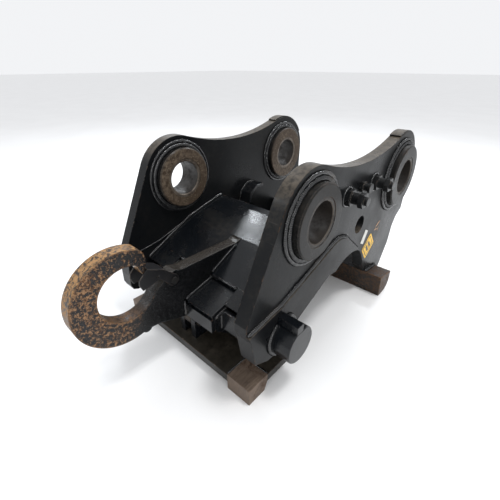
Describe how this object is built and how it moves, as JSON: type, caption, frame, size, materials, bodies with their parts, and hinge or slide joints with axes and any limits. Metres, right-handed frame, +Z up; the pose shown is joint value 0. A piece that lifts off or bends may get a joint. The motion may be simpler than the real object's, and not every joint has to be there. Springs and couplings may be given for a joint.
{
  "type": "excavator quick coupler",
  "caption": "Wedge-lock quick coupler: two shaped side plates with pin bosses, saddle stubs and a hook bar, a lifting hook with sprung latch, and a cylinder-driven locking wedge.",
  "frame": {"origin": "centre of the stick pin's bore, midway between the two side plates", "axes": "+X along the pins towards the right-hand side plate, -Y towards the lifting hook, +Z up; the wedge and the hook bar stand on the plane z = -0.386 m"},
  "size_m": [0.58, 1.015, 0.496],
  "materials": {
    "plate_paint": "worn satin black paint, scuffed grey",
    "boss_paint": "black paint worn to grey on the rims",
    "worn_bore_steel": "dull steel with brown staining",
    "frame_paint": "glossy black paint over weld beads",
    "rusty_bar_steel": "paint worn away, rust brown",
    "hook_steel": "black paint flaking off rusty steel",
    "latch_paint": "scuffed black paint",
    "dark_fastener_steel": "dark oily steel",
    "wedge_paint": "black paint with worn and rusty front edge",
    "bare_wear_steel": "bare worn steel, rust on the sides",
    "chromed_rod": "hard-chrome plated",
    "machined_steel": "machined steel",
    "seal_rubber": "moulded rubber",
    "cylinder_paint": "black paint",
    "fitting_paint": "black paint over plated steel",
    "pipe_steel": "painted drawn steel pipe"
  },
  "bodies": {
    "frame": {"anchor_lugs": "frame_paint", "anchor_pin": "machined_steel", "arch_cover_plate": "frame_paint", "bulkhead_plate": "frame_paint", "carrier_plate_left": "plate_paint", "carrier_plate_right": "plate_paint", "check_valve_block": "cylinder_paint", "cylinder_barrel": "cylinder_paint", "cylinder_end_cap": "cylinder_paint", "cylinder_gland": "cylinder_paint", "front_web_left": "frame_paint", "front_web_right": "frame_paint", "guide_bar_left": "frame_paint", "guide_bar_right": "frame_paint", "hood_plate": "frame_paint", "hood_wings": "frame_paint", "hook_bar": "rusty_bar_steel", "housing_front_plate": "frame_paint", "housing_side_plate_left": "frame_paint", "housing_side_plate_right": "frame_paint", "housing_top_plate": "frame_paint", "keeper_bolts": "dark_fastener_steel", "keeper_plate": "frame_paint", "latch_pin": "dark_fastener_steel", "link_pin_boss_left": "boss_paint", "link_pin_boss_right": "boss_paint", "link_pin_bush_left": "worn_bore_steel", "link_pin_bush_right": "worn_bore_steel", "load_hook": "hook_steel", "lock_pipe": "pipe_steel", "port_elbows": "fitting_paint", "port_fittings": "fitting_paint", "rear_cross_plate": "frame_paint", "release_pipe": "pipe_steel", "saddle_stub_left": "frame_paint", "saddle_stub_right": "frame_paint", "side_plate_left": "plate_paint", "side_plate_right": "plate_paint", "stick_pin_boss_left": "boss_paint", "stick_pin_boss_right": "boss_paint", "stick_pin_bush_left": "worn_bore_steel", "stick_pin_bush_right": "worn_bore_steel", "stop_pad_left": "frame_paint", "stop_pad_right": "frame_paint", "stub_key_bar_left": "frame_paint", "stub_key_bar_right": "frame_paint", "test_port": "fitting_paint", "wiper_seal": "seal_rubber"},
    "wedge": {"piston": "machined_steel", "piston_nut": "machined_steel", "piston_rod": "chromed_rod", "piston_seal": "seal_rubber", "rod_eye": "machined_steel", "rod_pin": "machined_steel", "wedge_block_left": "bare_wear_steel", "wedge_block_right": "bare_wear_steel", "wedge_lugs": "frame_paint", "wedge_plate": "wedge_paint"},
    "latch": {"safety_latch": "latch_paint", "latch_spring": "dark_fastener_steel"}
  },
  "joints": [
    {"name": "wedge_slide", "type": "slide", "parent": "frame", "child": "wedge", "axis": [0, 1, 0], "range_m": [0, 0.07]},
    {"name": "latch_hinge", "type": "hinge", "parent": "frame", "child": "latch", "pos_m": [0, -0.206, -0.14], "axis": [1, 0, 0], "range_deg": [0, 48], "stiffness_Nm_per_rad": 0.6, "springref_deg": -28.65}
  ]
}
